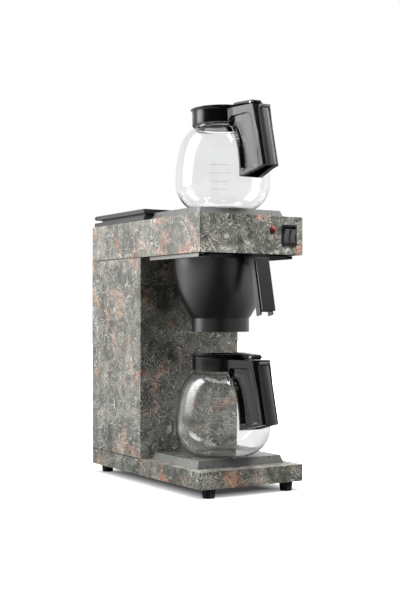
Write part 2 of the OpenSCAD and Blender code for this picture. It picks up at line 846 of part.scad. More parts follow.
// Filter basket
bowl_z = flange_z0 - bowl_h;
flange_w = 2 * (rail_in - run_gap);
flange_y0 = basket_y - flange_d / 2;
lip_t = 3;
lip_w = 150;
lip_h = 2.8;
pad_h = 13.5;
pad_side = 5;
pad_side_h = 8;
grid_t = 2;
grid_gap = 2;
grid_bars = 6;
bowl_floor = 3;
bowl_steps = 14;
basket_screw_x = 7;
basket_screw_drop = 8;
basket_screw_z = flange_z0 - basket_screw_drop;
basket_screw_r = 1.6;
basket_screw_l = 14;
basket_screw_head = 2.8;
basket_screw_head_t = 1.6;

module flange_plate() {
    translate([0, 0, flange_z0]) linear_extrude(flange_t) {
        square([flange_w - 2 * flange_corner, flange_d], center = true);
        square([flange_w, flange_d - 2 * flange_corner], center = true);
        for (x = [-1, 1], y = [-1, 1])
            translate([x * (flange_w / 2 - flange_corner), y * (flange_d / 2 - flange_corner)])
                circle(r = flange_corner);
    }
}

// Curve of the bowl's outside, from the outlet up to the flange
bowl_flare = 16;
bowl_flare_z = 22;
bowl_tuck = 2.5;
bowl_straight = 43;
bowl_curve = curve([[outlet_r, 0], [outlet_r + bowl_flare, bowl_flare_z],
    [basket_r - bowl_tuck, bowl_h - bowl_straight], [basket_r, bowl_h]], bowl_steps);
bowl_inside = [for (p = bowl_curve) if (p[1] >= bowl_floor) [p[0] - basket_wall, p[1]]];

module filter_basket() {
    placed() color("#2b2b2b") translate([0, basket_y, 0]) {
        difference() {
            union() {
                flange_plate();
                translate([0, 0, bowl_z]) rotate_extrude()
                    polygon(concat([[0, 0]], bowl_curve, [[0, bowl_h]]));
                translate([-lip_w / 2, -flange_d / 2, flange_z0 - lip_h])
                    cube([lip_w, lip_t, lip_h + flange_t]);
                translate([-basket_handle_w / 2, -flange_d / 2, flange_z0 - pad_h])
                    cube([basket_handle_w, lip_t, pad_h]);
                translate([-basket_handle_w / 2 - pad_side, -flange_d / 2, flange_z0 - pad_side_h])
                    cube([basket_handle_w + 2 * pad_side, lip_t, pad_side_h]);
                translate([0, 0, bowl_z - outlet_h]) cylinder(h = outlet_h, r = outlet_r);
            }
            translate([0, 0, bowl_z]) rotate_extrude()
                polygon(concat([[0, bowl_floor]], [[bowl_inside[0][0], bowl_floor]], bowl_inside,
                    [[basket_r - basket_wall, bowl_h + flange_t + cut], [0, bowl_h + flange_t + cut]]));
            translate([0, 0, bowl_z - outlet_h - cut])
                cylinder(h = outlet_h + cut, r = outlet_r - basket_wall);
            translate([0, 0, bowl_z - cut]) cylinder(h = bowl_floor + 2 * cut, r = drip_dia / 2);
            for (x = [-1, 1]) y_rod(x * basket_screw_x, -flange_d / 2 - cut, lip_t + cut - flange_d / 2,
                basket_screw_z, basket_screw_r + seat_fit);
        }
    }
}

module filter_grid() {
    ring_r = bowl_inside[0][0] - grid_gap;
    placed() color("#3a3a3a") translate([0, basket_y, bowl_z + bowl_floor]) {
        difference() {
            cylinder(h = grid_t, r = ring_r);
            translate([0, 0, -cut]) cylinder(h = grid_t + 2 * cut, r = ring_r - grid_t);
        }
        for (i = [0:grid_bars - 1]) rotate([0, 0, i * 180 / grid_bars])
            translate([-ring_r + grid_t / 2, -grid_t / 4, 0]) cube([2 * ring_r - grid_t, grid_t / 2, grid_t]);
    }
}

// Basket handle, drawn from the side and leaning forward
handle_drop = 3;
handle_z = flange_z0 - handle_drop;
basket_groove = 3.5;
basket_grip_t = 4;
basket_shell_y = basket_grip_t + basket_groove;
basket_rib_w = 12;
basket_rib_inset = 3;
basket_notch = 4.5;
basket_top = 13.5;
arm_z = flange_z0 - pad_h;
arm_top = flange_z0 + flange_t;
lean_cos = cos(basket_handle_lean);
lean_sin = sin(basket_handle_lean);
// Side point at a depth behind the handle's front face and a length down from its top
function handle_point(depth, down) = [-basket_handle_out + depth * lean_cos - down * lean_sin,
    handle_z - depth * lean_sin - down * lean_cos];
arm_down = (handle_z - basket_handle_t * lean_sin - arm_z) / lean_cos;
grip_down = basket_handle_h - basket_notch;

module basket_handle() {
    outline = [handle_point(basket_shell_y, 0), handle_point(basket_shell_y, basket_handle_h),
        handle_point(basket_handle_t, basket_handle_h), handle_point(basket_handle_t, arm_down),
        [flange_y0, arm_z], [flange_y0, arm_top], [handle_point(basket_shell_y, 0)[0], arm_top]];
    inner = basket_shell_y + shell_wall;
    open_end = basket_handle_h + cut;
    hollow = [handle_point(inner, basket_top), handle_point(inner, grip_down),
        handle_point(basket_shell_y - cut, grip_down), handle_point(basket_shell_y - cut, open_end),
        handle_point(basket_handle_t + cut, open_end), handle_point(basket_handle_t + cut, basket_top)];
    placed() color("#2b2b2b") difference() {
        side_prism(outline, basket_handle_w);
        side_prism(hollow, basket_handle_w - 2 * shell_wall);
        for (x = [-1, 1]) y_rod(x * basket_screw_x, flange_y0 - basket_screw_l, flange_y0 + cut,
            basket_screw_z, basket_screw_r);
    }
}

module basket_grip() {
    strip = [handle_point(0, 0), handle_point(0, grip_down),
        handle_point(basket_grip_t, grip_down), handle_point(basket_grip_t, 0)];
    rib_foot = grip_down - basket_rib_inset;
    rib = [handle_point(basket_grip_t / 2, basket_rib_inset), handle_point(basket_grip_t / 2, rib_foot),
        handle_point(basket_shell_y, rib_foot), handle_point(basket_shell_y, basket_rib_inset)];
    placed() color("#2b2b2b") {
        side_prism(strip, basket_handle_w);
        side_prism(rib, basket_rib_w);
    }
}

module basket_screws() {
    placed() color("silver") for (x = [-1, 1])
        translate([x * basket_screw_x, flange_y0 + lip_t, basket_screw_z]) rotate([90, 0, 0])
            screw(basket_screw_head, basket_screw_head_t, basket_screw_r, basket_screw_l);
}

// Jugs
module jug_at(base) {
    placed() translate([0, jug_y, base + plate_h + stand_gap]) children();
}

// Curve of the glass, with the pulls that shape its heel and its shoulder
heel_steps = 10;
heel_out = 10;
heel_up = 1.5;
heel_tuck = 2;
heel_down = 24;
shoulder_steps = 12;
shoulder_up = 22;
shoulder_out = 30.5;
shoulder_down = 9;
glass_heel = curve([[glass_foot_r, 0], [glass_foot_r + heel_out, heel_up],
    [glass_r - heel_tuck, glass_belly_z - heel_down], [glass_r, glass_belly_z]], heel_steps);
glass_shoulder = curve([[glass_r, glass_belly_z], [glass_r, glass_belly_z + shoulder_up],
    [neck_r + shoulder_out, neck_z - shoulder_down], [neck_r, neck_z]], shoulder_steps);
glass_outside = concat(glass_heel, [for (i = [1:shoulder_steps]) glass_shoulder[i]]);
glass_inside = [for (p = glass_outside) if (p[1] >= glass_t) [p[0] - glass_t, p[1]]];

module jug_glass() {
    color("lightcyan", 0.4) difference() {
        rotate_extrude() polygon(concat([[0, 0]], glass_outside, [[neck_r, glass_h], [0, glass_h]]));
        rotate_extrude() polygon(concat([[0, glass_t], [glass_inside[0][0], glass_t]], glass_inside,
            [[neck_r - glass_t, glass_h + cut], [0, glass_h + cut]]));
    }
}

seal_t = 1.5;
shelf_t = 2.5;
collar_wall = 3.5;
collar_in = collar_r - collar_wall;
shelf_w = 5;
shelf_in = neck_r - shelf_w;
flare_h = 7;

module jug_seal() {
    color("#444444") difference() {
        translate([0, 0, glass_h]) cylinder(h = seal_t, r = neck_r);
        translate([0, 0, glass_h - cut]) cylinder(h = seal_t + 2 * cut, r = shelf_in);
    }
}

// Side outlines of handle shell and grip, as Y and Z points with Y towards the rear
function lean_y(reach, z) = -(reach + (handle_reach_foot - handle_reach_top)
    * (handle_top - z) / (handle_top - handle_foot));
shell_back = handle_reach_top - grip_t - grip_groove;
grip_back = handle_reach_top - grip_t;
shell_drop = 13;
shell_low = handle_foot - shell_drop;
shell_air = 3;
shell_inner = glass_r + shell_air;
// Inner edge of the shell, which follows the glass at the given distance
function inner_edge(air) = [for (p = glass_shoulder)
    if (p[1] > shell_low + shell_air && p[1] < collar_z - 2 * shell_air) [-p[0] - air, p[1]]];
shell_side = concat([[-collar_in, handle_top], [lean_y(shell_back, handle_top), handle_top],
    [lean_y(shell_back, handle_foot), handle_foot], [-shell_inner, shell_low]],
    inner_edge(shell_air), [[-collar_r, collar_z]]);
// Finger scoop, inset from the shell's outline
scoop_edge = 9;
scoop_rim = 3;
scoop_drop = 12;
scoop_rise = 5;
scoop_top = handle_top - scoop_drop;
scoop_foot = handle_foot + scoop_rise;
scoop_side = concat([[-collar_r - scoop_edge, scoop_top],
    [lean_y(shell_back - scoop_edge, scoop_top), scoop_top],
    [lean_y(shell_back - scoop_edge, scoop_foot), scoop_foot],
    [-shell_inner - scoop_rim, shell_low + scoop_edge]],
    inner_edge(shell_air + scoop_rim), [[-collar_r - scoop_edge, collar_z]]);
// Hollow of the shell, open at its foot
hollow_top = handle_top - 2 * shell_wall;
hollow_foot = handle_foot - 2 * shell_drop;
hollow_side = concat([[-collar_r - shell_wall, hollow_top],
    [lean_y(shell_back - shell_wall, hollow_top), hollow_top],
    [lean_y(shell_back - shell_wall, hollow_foot), hollow_foot],
    [-shell_inner - shell_wall, hollow_foot], [-shell_inner - shell_wall, shell_low]],
    inner_edge(shell_air + shell_wall), [[-collar_r - shell_wall, collar_z]]);
plan_neck = 68;

// Plan of the handle shell, drawn in by the given amount
module shell_plan(inset) {
    wide = shell_w / 2 - inset;
    slim = shell_tip_w / 2 - inset;
    linear_extrude(handle_top + cut)
        polygon([[-wide, 0], [wide, 0], [wide, -plan_neck], [slim, -handle_reach_top],
            [slim, -2 * handle_reach_foot], [-slim, -2 * handle_reach_foot], [-slim, -handle_reach_top],
            [-wide, -plan_neck]]);
}

module handle_shell() {
    difference() {
        union() {
            intersection() {
                side_prism(shell_side, shell_w);
                shell_plan(scoop);
            }
            intersection() {
                difference() {
                    side_prism(shell_side, shell_w);
                    side_prism(scoop_side, shell_w + cut);
                }
                shell_plan(0);
            }
        }
        intersection() {
            side_prism(hollow_side, shell_w);
            shell_plan(scoop + shell_wall);
        }
    }
}

lid_pin_r = lid_pin_dia / 2;
lid_pin_inset = 16;
lid_pin_y = lean_y(shell_back - lid_pin_inset, handle_top);
lid_pin_drop = 2.5;
lid_pin_z = collar_top - lid_pin_drop;
knuckle_wall = 2.5;
knuckle_r = lid_pin_r + knuckle_wall;
tab_half = 8;
lid_ear_t = 3;
lid_ear_x = tab_half + run_gap;
lid_ear_mid = lid_ear_x + lid_ear_t / 2;

module jug_collar() {
    color("#151515") {
        difference() {
            union() {
                rotate_extrude() polygon([[0, collar_z], [collar_r, collar_z],
                    [collar_r, collar_top - flare_h], [collar_r + lip_flare, collar_top], [0, collar_top]]);
                handle_shell();
            }
            translate([0, 0, collar_z - cut])
                cylinder(h = glass_h + seal_t - collar_z + cut, r = neck_r + seat_fit);
            translate([0, 0, collar_z]) cylinder(h = collar_top, r = shelf_in);
            translate([0, 0, glass_h + seal_t + shelf_t]) cylinder(h = collar_top, r = collar_in);
            for (z = grip_screw_zs) grip_axis(z)
                cylinder(h = screw_reach, r = grip_screw_r + seat_fit, center = true);
        }
        for (side = [-1, 1]) difference() {
            union() {
                translate([side * lid_ear_mid - lid_ear_t / 2, lid_pin_y - knuckle_r, handle_top - cut])
                    cube([lid_ear_t, 2 * knuckle_r, lid_pin_z - handle_top + cut]);
                x_rod(side * lid_ear_mid - lid_ear_t / 2, side * lid_ear_mid + lid_ear_t / 2,
                    lid_pin_y, lid_pin_z, knuckle_r);
            }
            x_rod(side * lid_ear_mid - lid_ear_t, side * lid_ear_mid + lid_ear_t,
                lid_pin_y, lid_pin_z, lid_pin_r);
        }
    }
}

module lid_pin() {
    color("silver") x_rod(-lid_ear_x - lid_ear_t, lid_ear_x + lid_ear_t, lid_pin_y, lid_pin_z, lid_pin_r);
}

lid_drop = 0.5;
spigot_t = 2;
dish = 1.8;
dish_edge = 10;
tab_root = 8;
tab_rise = 4;
tab_air = 1;

module jug_lid() {
    lid_r = collar_in - run_gap;
    lid_top = collar_top - lid_drop;
    lid_low = lid_top - jug_lid_t;
    skirt_low = glass_h + seal_t + shelf_t + stand_gap;
    tab_low = collar_top + run_gap;
    tab_top = collar_top + tab_rise;
    tab_out = -collar_r - lip_flare - tab_air;
    color("#151515") difference() {
        union() {
            translate([0, 0, skirt_low]) cylinder(h = lid_top - skirt_low, r = lid_r);
            side_prism([[tab_root - lid_r, lid_low], [tab_root - lid_r, lid_top], [tab_air - lid_r, tab_top],
                [tab_out, tab_top], [lid_pin_y, lid_pin_z + knuckle_r], [lid_pin_y, lid_pin_z],
                [tab_out, tab_low], [tab_air - lid_r, tab_low], [tab_air - lid_r, lid_low]], 2 * tab_half);
            x_rod(-tab_half, tab_half, lid_pin_y, lid_pin_z, knuckle_r);
        }
        translate([0, 0, skirt_low - cut]) cylinder(h = lid_low - skirt_low + cut, r = lid_r - spigot_t);
        translate([0, 0, lid_top - dish]) cylinder(h = tab_rise, r = lid_r - dish_edge);
        translate([0, 0, lid_low - cut]) cylinder(h = jug_lid_t + 2 * cut, r = brew_hole_dia / 2);
        x_rod(-2 * tab_half, 2 * tab_half, lid_pin_y, lid_pin_z, lid_pin_r + pin_fit);
    }
}

// Half-round grip with a rib that meets the handle shell and a barrel at its head
grip_lean = atan((handle_reach_foot - handle_reach_top) / (handle_top - handle_foot));
grip_r = grip_w / 2;
grip_axis_reach = handle_reach_top - grip_r / cos(grip_lean);
grip_flat = (grip_axis_reach - grip_back) * cos(grip_lean);
grip_drop = 8;
barrel_reach = handle_reach_top - grip_t / 2;
grip_head = handle_top - grip_drop;
barrel_r = 3.5;
barrel_w = 18;
barrel_z = grip_head + barrel_r - cut;
grip_rib_w = 8;
grip_screw_low = 32;
grip_screw_high = 26;
grip_screw_zs = [handle_foot + grip_screw_low, handle_top - grip_screw_high];
grip_screw_r = 1.6;
grip_screw_head = 2.8;
grip_screw_head_t = 1.5;
grip_screw_bite = 6;
grip_screw_tip = 0.4;
grip_screw_l = shell_wall + grip_groove + grip_screw_bite;
grip_pocket = 20;
screw_reach = 3 * shell_wall;

// Axis of a grip screw, square to the handle's lean, with its origin on the shell's front face
module grip_axis(z) {
    translate([0, lean_y(shell_back, z), z]) rotate([90 - grip_lean, 0, 0]) children();
}

// D-shaped bar along the handle's lean, cut level at both ends
module grip_bar(r, flat, low, high) {
    bar_l = (handle_top - handle_foot + 4 * grip_t) / cos(grip_lean);
    intersection() {
        translate([0, lean_y(grip_axis_reach, handle_foot), handle_foot]) rotate([-grip_lean, 0, 0])
            translate([0, 0, -2 * grip_t]) linear_extrude(bar_l) intersection() {
                union() {
                    circle(r = r);
                    translate([-r, 0]) square(2 * r);
                }
                translate([-r, -r]) square([2 * r, r + flat]);
            }
        translate([-grip_w, -2 * handle_reach_foot, low])
            cube([2 * grip_w, 2 * handle_reach_foot, high - low]);
    }
}

module jug_grip() {
    rib_back = grip_back + grip_t / 4;
    rib = [[lean_y(shell_back, grip_head), grip_head], [lean_y(rib_back, grip_head), grip_head],
        [lean_y(rib_back, handle_foot), handle_foot], [lean_y(shell_back, handle_foot), handle_foot]];
    color("#202020") difference() {
        union() {
            grip_bar(grip_r, grip_flat, handle_foot, grip_head);
            side_prism(rib, grip_rib_w);
            x_rod(-barrel_w / 2, barrel_w / 2, lean_y(barrel_reach, barrel_z), barrel_z, barrel_r);
        }
        grip_bar(grip_r - shell_wall, grip_flat - shell_wall, handle_foot - cut, handle_foot + grip_pocket);
        for (z = grip_screw_zs) grip_axis(z) translate([0, 0, -cut])
            cylinder(h = grip_screw_l - shell_wall + grip_screw_tip + cut, r = grip_screw_r);
    }
}

module grip_screws() {
    color("silver") for (z = grip_screw_zs) grip_axis(z) translate([0, 0, -shell_wall])
        screw(grip_screw_head, grip_screw_head_t, grip_screw_r, grip_screw_l);
}

module lower_jug_glass() { jug_at(column_z) jug_glass(); }
module lower_jug_collar() { jug_at(column_z) jug_collar(); }
module lower_jug_seal() { jug_at(column_z) jug_seal(); }
module lower_jug_grip() { jug_at(column_z) jug_grip(); }
module lower_grip_screws() { jug_at(column_z) grip_screws(); }
module lower_lid_pin() { jug_at(column_z) lid_pin(); }
module lower_jug_lid() { jug_at(column_z) jug_lid(); }
module upper_jug_glass() { jug_at(deck_z) jug_glass(); }
module upper_jug_collar() { jug_at(deck_z) jug_collar(); }
module upper_jug_seal() { jug_at(deck_z) jug_seal(); }
module upper_jug_grip() { jug_at(deck_z) jug_grip(); }
module upper_grip_screws() { jug_at(deck_z) grip_screws(); }
module upper_lid_pin() { jug_at(deck_z) lid_pin(); }
module upper_jug_lid() { jug_at(deck_z) jug_lid(); }

base_tray();
base_bottom_cover();
feet();
lower_hotplate();
lower_plate_heater();
upper_hotplate();
upper_plate_heater();
column_wrap();
rear_cover();
head_wrap();
head_top_deck();
head_floor();
left_basket_rail();
right_basket_rail();
lid_frame();
lid_hinge_pin();
water_tank();
tank_strainer();
tank_outlet_grommet();
non_return_valve();
flow_heater();
heater_bracket();
feed_hose();
riser_pipe();
spray_head();
spray_gasket();
safety_thermostat();
switch_bezel();
pilot_lamp_lens();
pilot_lamp_holder();
terminal_block();
cord_gland();
wiring_loom();
housing_screws();
tank_lid();
left_rocker();
right_rocker();
filter_basket();
filter_grid();
basket_handle();
basket_grip();
basket_screws();
lower_jug_glass();
lower_jug_collar();
lower_jug_seal();
lower_jug_grip();
lower_grip_screws();
lower_lid_pin();
lower_jug_lid();
upper_jug_glass();
upper_jug_collar();
upper_jug_seal();
upper_jug_grip();
upper_grip_screws();
upper_lid_pin();
upper_jug_lid();
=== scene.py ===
import json
import math

import bmesh
import bpy
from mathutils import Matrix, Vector


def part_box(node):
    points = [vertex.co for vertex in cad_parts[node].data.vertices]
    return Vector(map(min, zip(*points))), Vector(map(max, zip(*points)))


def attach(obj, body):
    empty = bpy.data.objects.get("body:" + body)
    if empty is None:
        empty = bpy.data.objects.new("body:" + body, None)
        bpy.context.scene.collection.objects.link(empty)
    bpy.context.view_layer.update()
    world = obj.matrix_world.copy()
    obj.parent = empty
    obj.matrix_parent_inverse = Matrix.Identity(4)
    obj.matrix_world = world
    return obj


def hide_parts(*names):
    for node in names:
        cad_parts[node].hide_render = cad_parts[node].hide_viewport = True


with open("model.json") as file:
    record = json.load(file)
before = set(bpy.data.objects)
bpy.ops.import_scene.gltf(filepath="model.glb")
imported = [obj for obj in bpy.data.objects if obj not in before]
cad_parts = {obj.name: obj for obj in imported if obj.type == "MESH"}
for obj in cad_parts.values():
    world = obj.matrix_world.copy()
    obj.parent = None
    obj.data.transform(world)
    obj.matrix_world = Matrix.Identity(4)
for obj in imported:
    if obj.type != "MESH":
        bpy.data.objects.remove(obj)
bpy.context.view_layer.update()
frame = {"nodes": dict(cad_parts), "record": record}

MM = 0.001
NODE_BODY = {n: b for b, ns in frame["record"]["behaviour"]["bodies"].items() for n in ns}

# Photograph's camera, in metres and degrees, with its distance in front of the head
CAMERA_X, CAMERA_AHEAD, CAMERA_Z = -0.9833, 1.4467, 0.2849
CAMERA_YAW = -31.472
CAMERA_SENSOR, CAMERA_LENS = 36, 66.67
CAMERA_SHIFT_Y = 0.02327

DISPLAY_GAMMA = 2.2
BLACK, WHITE = (0, 0, 0), (1, 1, 1)


def linear(r, g, b):
    """Display colour of 0 to 255 as the linear colour that shaders take."""
    return tuple((c / 255) ** DISPLAY_GAMMA for c in (r, g, b)) + (1.0,)


def grey(level):
    """Linear grey."""
    return (level,) * 3


class Shader:
    """Small helper that adds nodes to one material and links them."""

    def __init__(self, name):
        self.material = bpy.data.materials.new(name)
        self.material.use_nodes = True
        self.nodes = self.material.node_tree.nodes
        self.links = self.material.node_tree.links
        self.bsdf = self.nodes["Principled BSDF"]
        self.coords = self.nodes.new("ShaderNodeTexCoord").outputs["Object"]

    def set(self, **values):
        for key, value in values.items():
            self.bsdf.inputs[key.replace("_", " ")].default_value = value
        return self

    def node(self, kind, **values):
        made = self.nodes.new(kind)
        for key, value in values.items():
            if hasattr(made, key):
                setattr(made, key, value)
            else:
                made.inputs[key.replace("_", " ")].default_value = value
        return made

    def link(self, out, socket):
        self.links.new(out, socket)

    def feed(self, *pairs):
        """Links each socket to what comes out of a node, or sets it to a constant."""
        for value, socket in pairs:
            if isinstance(value, bpy.types.NodeSocket):
                self.link(value, socket)
            else:
                socket.default_value = value

    def noise(self, scale, detail, rough, distortion=0.0, stretch=(1, 1, 1), shift=(0, 0, 0)):
        place = self.node("ShaderNodeMapping")
        place.inputs["Scale"].default_value = stretch
        place.inputs["Location"].default_value = shift
        self.link(self.coords, place.inputs["Vector"])
        made = self.node("ShaderNodeTexNoise", Scale=scale, Detail=detail, Roughness=rough, Distortion=distortion)
        self.link(place.outputs["Vector"], made.inputs["Vector"])
        return made.outputs["Fac"]

    def ramp(self, value, *stops):
        made = self.node("ShaderNodeValToRGB")
        ramp = made.color_ramp
        while len(ramp.elements) < len(stops):
            ramp.elements.new(1.0)
        for element, (place, colour) in zip(ramp.elements, stops):
            element.position = place
            element.color = colour if len(colour) == 4 else tuple(colour) + (1.0,)
        self.link(value, made.inputs["Fac"])
        return made.outputs["Color"]

    def mix(self, factor, a, b, blend="MIX"):
        made = self.node("ShaderNodeMix", data_type="RGBA", blend_type=blend)
        self.feed((factor, made.inputs[0]), (a, made.inputs[6]), (b, made.inputs[7]))
        return made.outputs[2]

    def math(self, operation, a, b=0.0):
        made = self.node("ShaderNodeMath", operation=operation)
        self.feed((a, made.inputs[0]), (b, made.inputs[1]))
        return made.outputs[0]

    def bump(self, height, strength, distance):
        made = self.node("ShaderNodeBump", Strength=strength, Distance=distance)
        self.link(height, made.inputs["Height"])
        self.link(made.outputs["Normal"], self.bsdf.inputs["Normal"])

    def colour(self, out):
        self.link(out, self.bsdf.inputs["Base Color"])

    def roughness(self, value, low, high):
        self.link(self.ramp(value, (0.3, grey(low)), (0.7, grey(high))), self.bsdf.inputs["Roughness"])


# Print of the housing
PRINT_GROUND = linear(46, 48, 42), linear(98, 98, 89), linear(156, 154, 143)
PRINT_MOSS = linear(68, 76, 69)
PRINT_RUST = linear(112, 70, 50), linear(186, 132, 102), linear(222, 182, 156)
PRINT_STRAND = linear(226, 224, 214)
# Noise scale, lines across its range, twist, half width, lightness and shift of each family of strands
STRANDS = (26, 16, 0.9, 0.13, 0.95, 0.0), (38, 11, 1.2, 0.12, 0.9, 5.0), (56, 7, 1.4, 0.11, 0.85, 9.0)


def printed_housing():
    """Satin lacquered sheet with a marbled print of pale strands and rust clouds over grey green."""
    s = Shader("printed_housing")
    ground = s.ramp(s.noise(24, 5, 0.62, 0.8), *zip((0.30, 0.48, 0.70), PRINT_GROUND))
    moss = s.ramp(s.noise(31, 4, 0.6, 0.9, shift=(8.2, 4.4, 2.5)), (0.52, BLACK), (0.66, grey(0.65)))
    ground = s.mix(moss, ground, PRINT_MOSS)
    clouds = s.ramp(s.noise(19, 2.6, 0.5, 0.7, shift=(3.1, 0.7, 1.9)), (0.555, BLACK), (0.68, grey(0.86)))
    rust = s.ramp(s.noise(80, 3, 0.6, 1.2), *zip((0.32, 0.52, 0.68), PRINT_RUST))
    tinted = s.mix(clouds, ground, rust)
    shade = s.ramp(s.noise(70, 5, 0.66, 1.8, shift=(1.0, 6.0, 3.0)), (0.36, grey(0.34)), (0.54, WHITE))
    tinted = s.mix(0.9, tinted, shade, "MULTIPLY")
    for scale, count, twist, width, light, shift in STRANDS:
        field = s.noise(scale, 1.3, 0.5, twist, shift=(shift, 2 * shift, shift))
        wave = s.math("FRACT", s.math("MULTIPLY", field, count))
        from_line = s.math("ABSOLUTE", s.math("SUBTRACT", wave, 0.5))
        strand = s.ramp(from_line, (0.0, grey(light)), (width, BLACK))
        gaps = s.ramp(s.noise(36, 3, 0.6, 0.8, shift=(shift, 1.0, 4.0)), (0.46, BLACK), (0.58, WHITE))
        tinted = s.mix(s.mix(1.0, strand, gaps, "MULTIPLY"), tinted, PRINT_STRAND)
    speckle = s.ramp(s.noise(420, 3, 0.7), (0.36, grey(0.74)), (0.6, WHITE))
    s.colour(s.mix(1.0, tinted, speckle, "MULTIPLY"))
    s.roughness(s.noise(35, 4, 0.6), 0.34, 0.48)
    s.bump(s.noise(520, 3, 0.6), 0.06, 0.0004)
    return s.set(Coat_Weight=0.25, Coat_Roughness=0.25).material


# Other materials
def grained(name, dark, light, rough, grain=900, depth=0.12, spread=0.08, gloss=0.5):
    """Moulded plastic, rubber or coated metal with a fine grain and slight colour drift."""
    s = Shader(name)
    drift = s.noise(14, 4, 0.6)
    fine = s.noise(grain, 3, 0.6)
    s.colour(s.mix(0.35, s.ramp(drift, (0.3, dark), (0.7, light)), s.ramp(fine, (0.35, dark), (0.65, light))))
    s.roughness(s.noise(60, 4, 0.6), rough - spread / 2, rough + spread / 2)
    s.bump(fine, depth, 0.0003)
    return s.set(Specular_IOR_Level=gloss).material


def brushed(name, tone, rough, along=(1, 1, 1)):
    """Brushed or drawn metal with fine lines and faint stains."""
    s = Shader(name)
    lines = s.noise(700, 2, 0.5, stretch=along)
    s.colour(s.ramp(lines, (0.3, tuple(0.82 * c for c in tone)), (0.7, tone)))
    s.roughness(s.noise(300, 2, 0.5, stretch=along), rough - 0.06, rough + 0.06)
    s.bump(lines, 0.05, 0.0002)
    return s.set(Metallic=1.0).material


def coated_plate():
    """Pressed plate with a thin satin grey coat that lets the metal shine through."""
    s = Shader("hotplate_enamel")
    s.colour(s.ramp(s.noise(16, 4, 0.6), (0.3, linear(92, 93, 91)), (0.7, linear(108, 109, 107))))
    s.roughness(s.noise(70, 4, 0.6), 0.26, 0.33)
    s.bump(s.noise(1500, 3, 0.6), 0.06, 0.0002)
    return s.set(Metallic=0.35).material


def clear_glass():
    """Clear blown glass with a faint drift in its tint."""
    s = Shader("jug_glass")
    s.colour(s.ramp(s.noise(9, 2, 0.5), (0.2, (0.95, 0.955, 0.955, 1)), (0.8, (0.975, 0.98, 0.98, 1))))
    return s.set(Transmission_Weight=1.0, Roughness=0.0, IOR=1.36).material


def red_lens():
    """Dark red moulded lens with fine prisms inside."""
    s = Shader("lamp_red")
    s.colour(s.ramp(s.noise(700, 2, 0.5), (0.3, linear(96, 14, 10)), (0.7, linear(150, 26, 18))))
    s.bump(s.noise(700, 2, 0.5), 0.08, 0.0002)
    return s.set(Roughness=0.4, Transmission_Weight=0.15).material


MATERIALS = {
    "printed_housing": printed_housing(),
    "zinc_sheet": brushed("zinc_sheet", (0.55, 0.56, 0.57, 1), 0.42, (1, 8, 1)),
    "foot_rubber": grained("foot_rubber", linear(30, 30, 29), linear(52, 52, 50), 0.72, 500, 0.25),
    "hotplate_enamel": coated_plate(),
    "cast_aluminium": brushed("cast_aluminium", (0.66, 0.66, 0.68, 1), 0.5),
    "underside_black": grained("underside_black", linear(16, 16, 16), linear(30, 30, 30), 0.5),
    "rail_steel": brushed("rail_steel", (0.31, 0.31, 0.298, 1), 0.24, (1, 0.02, 1)),
    "lid_black": grained("lid_black", linear(36, 37, 39), linear(52, 53, 55), 0.46, 1100, 0.16),
    "bright_steel": brushed("bright_steel", (0.74, 0.74, 0.75, 1), 0.2),
    "tank_plastic": grained("tank_plastic", linear(196, 197, 192), linear(216, 217, 212), 0.45, 500, 0.06),
    "silicone": grained("silicone", linear(150, 150, 146), linear(178, 178, 174), 0.55, 400, 0.08),
    "thermostat_body": grained("thermostat_body", linear(96, 66, 38), linear(124, 88, 52), 0.5, 700, 0.1),
    "switch_black": grained("switch_black", linear(18, 18, 19), linear(32, 32, 33), 0.3, 1400, 0.05),
    "lamp_red": red_lens(),
    "basket_charcoal": grained("basket_charcoal", linear(6, 7, 7), linear(10, 11, 11), 0.32, 1300, 0.08,
                               spread=0.015, gloss=0.8),
    "jug_glass": clear_glass(),
    "jug_gloss_black": grained("jug_gloss_black", linear(9, 9, 10), linear(16, 16, 17), 0.2, 900, 0.015,
                               spread=0.05, gloss=0.36),
    "grip_black": grained("grip_black", linear(32, 32, 33), linear(48, 48, 49), 0.42, 1200),
}
NODE_SLOT = {p["node"]: p["material_slot"] for p in frame["record"]["subparts"]}


for node, obj in frame["nodes"].items():
    for material_slot in obj.material_slots:
        material_slot.material = MATERIALS[NODE_SLOT[node]]


# Mesh helpers: angles in radians, welding distance in metres
SMOOTH_BELOW = math.radians(38)
ROUND_ABOVE = math.radians(30)
FLAT_WITHIN = math.radians(0.4)
WELD = 2e-6


def linked(name, bm):
    """Object made from a bmesh, smooth except at sharp edges, with normals that keep flat faces flat."""
    bmesh.ops.recalc_face_normals(bm, faces=bm.faces)
    for face in bm.faces:
        face.smooth = True
    for edge in bm.edges:
        edge.smooth = len(edge.link_faces) == 2 and edge.calc_face_angle() < SMOOTH_BELOW
    mesh = bpy.data.meshes.new(name)
    bm.to_mesh(mesh)
    bm.free()
    obj = bpy.data.objects.new(name, mesh)
    bpy.context.scene.collection.objects.link(obj)
    obj.modifiers.new("flat_faces", "WEIGHTED_NORMAL").keep_sharp = True
    return obj


def adopt(obj, node, slot=None, instead=True):
    """Makes an object a piece that moves with a CAD node, and stands for it unless told otherwise."""
    slot = slot or NODE_SLOT[node]
    if not obj.data.materials:
        obj.data.materials.append(MATERIALS[slot])
    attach(obj, NODE_BODY[node])
    if instead:
        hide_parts(node)


def welded(node):
    """The faces of a CAD node as a bmesh, with flat areas merged."""
    bm = bmesh.new()
    bm.from_mesh(frame["nodes"][node].data)
    bmesh.ops.remove_doubles(bm, verts=bm.verts, dist=WELD)
    bmesh.ops.dissolve_limit(bm, angle_limit=FLAT_WITHIN, verts=bm.verts, edges=bm.edges)
    return bm


def bevel(bm, edges, width, segments):
    """Rounds the given edges of a bmesh by a width in millimetres."""
    bmesh.ops.bevel(bm, geom=edges, offset=width * MM, segments=segments, profile=0.5, affect="EDGES",
                    clamp_overlap=True)


